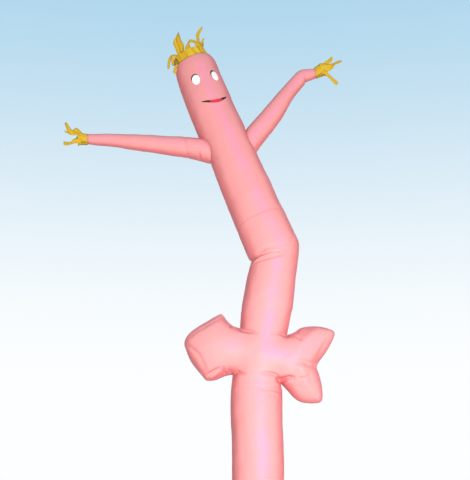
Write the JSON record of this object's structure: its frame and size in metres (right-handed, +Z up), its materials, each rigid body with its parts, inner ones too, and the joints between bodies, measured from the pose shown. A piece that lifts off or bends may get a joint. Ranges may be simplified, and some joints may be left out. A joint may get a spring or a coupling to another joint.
{
  "type": "inflatable tube dancer",
  "caption": "Tall inflated tube dancer of thin pink nylon with a smiling face, raised arms, yellow cloth hair and fingers, and an arrow-shaped sign across its waist, open at the hem.",
  "frame": {"origin": "on the ground, under the middle of the whole outline; the hem ring's middle is 0.377 m to the +X side and 0.058 m to the -Y side of it, under the dancer's weight", "axes": "+Z up; the dancer faces -Y; +X is the viewer's right when it is seen from the front"},
  "size_m": [2.6554, 0.6911, 6.0807],
  "materials": {
    "pink_nylon": "thin coated ripstop nylon, soft satin",
    "yellow_nylon": "thin coated ripstop nylon, soft satin",
    "white_cloth": "matt patch cloth",
    "brown_cloth": "matt patch cloth",
    "red_cloth": "matt patch cloth"
  },
  "bodies": {
    "root": {"base_sleeve": "pink_nylon", "leg_tube": "pink_nylon", "arrow_front": "pink_nylon", "arrow_back": "pink_nylon", "waist_tube": "pink_nylon", "body_tube": "pink_nylon", "left_shoulder": "pink_nylon", "left_sleeve": "pink_nylon", "right_sleeve": "pink_nylon", "left_cuff": "yellow_nylon", "left_fingers": "yellow_nylon", "right_cuff": "yellow_nylon", "right_fingers": "yellow_nylon", "hair_crown": "yellow_nylon", "hair_strips": "yellow_nylon", "left_eye": "white_cloth", "right_eye": "white_cloth", "left_eye_backing": "brown_cloth", "right_eye_backing": "brown_cloth", "mouth_line": "brown_cloth", "mouth_lips": "red_cloth"}
  },
  "joints": []
}
